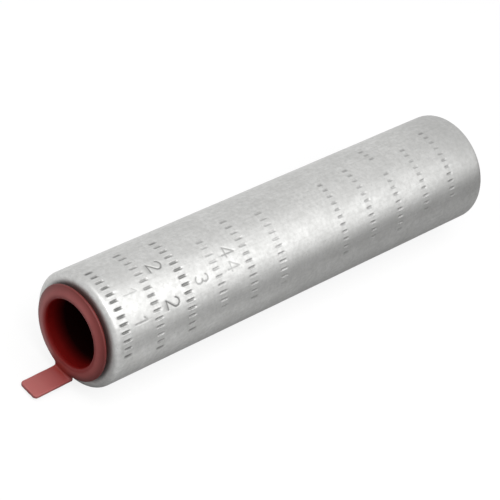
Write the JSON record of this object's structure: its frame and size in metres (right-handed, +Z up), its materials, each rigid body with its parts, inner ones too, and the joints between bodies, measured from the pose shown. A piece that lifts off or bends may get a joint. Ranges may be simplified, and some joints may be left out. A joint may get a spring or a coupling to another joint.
{
  "type": "butt splice connector",
  "caption": "Long round metal splice barrel with rows of short pressed crimp marks, bored from both ends for stranded conductors, each end closed by a red pull-out plug with a tab.",
  "frame": {"origin": "middle of the barrel, on its axis", "axes": "+X along the barrel towards the right plug, +Z up as the part comes to rest on a bench, the marked side facing up and towards -Y"},
  "size_m": [0.1334, 0.0254, 0.0254],
  "materials": {
    "barrel_metal": "satin, tumbled",
    "plug_plastic": "soft translucent moulding"
  },
  "bodies": {
    "barrel": {"barrel": "barrel_metal"},
    "left_plug": {"left_plug": "plug_plastic"},
    "right_plug": {"right_plug": "plug_plastic"}
  },
  "joints": [
    {"name": "left_plug_pull", "type": "slide", "parent": "barrel", "child": "left_plug", "axis": [-1, 0, 0], "range_m": [0, 0.04]},
    {"name": "right_plug_pull", "type": "slide", "parent": "barrel", "child": "right_plug", "axis": [1, 0, 0], "range_m": [0, 0.04]}
  ]
}
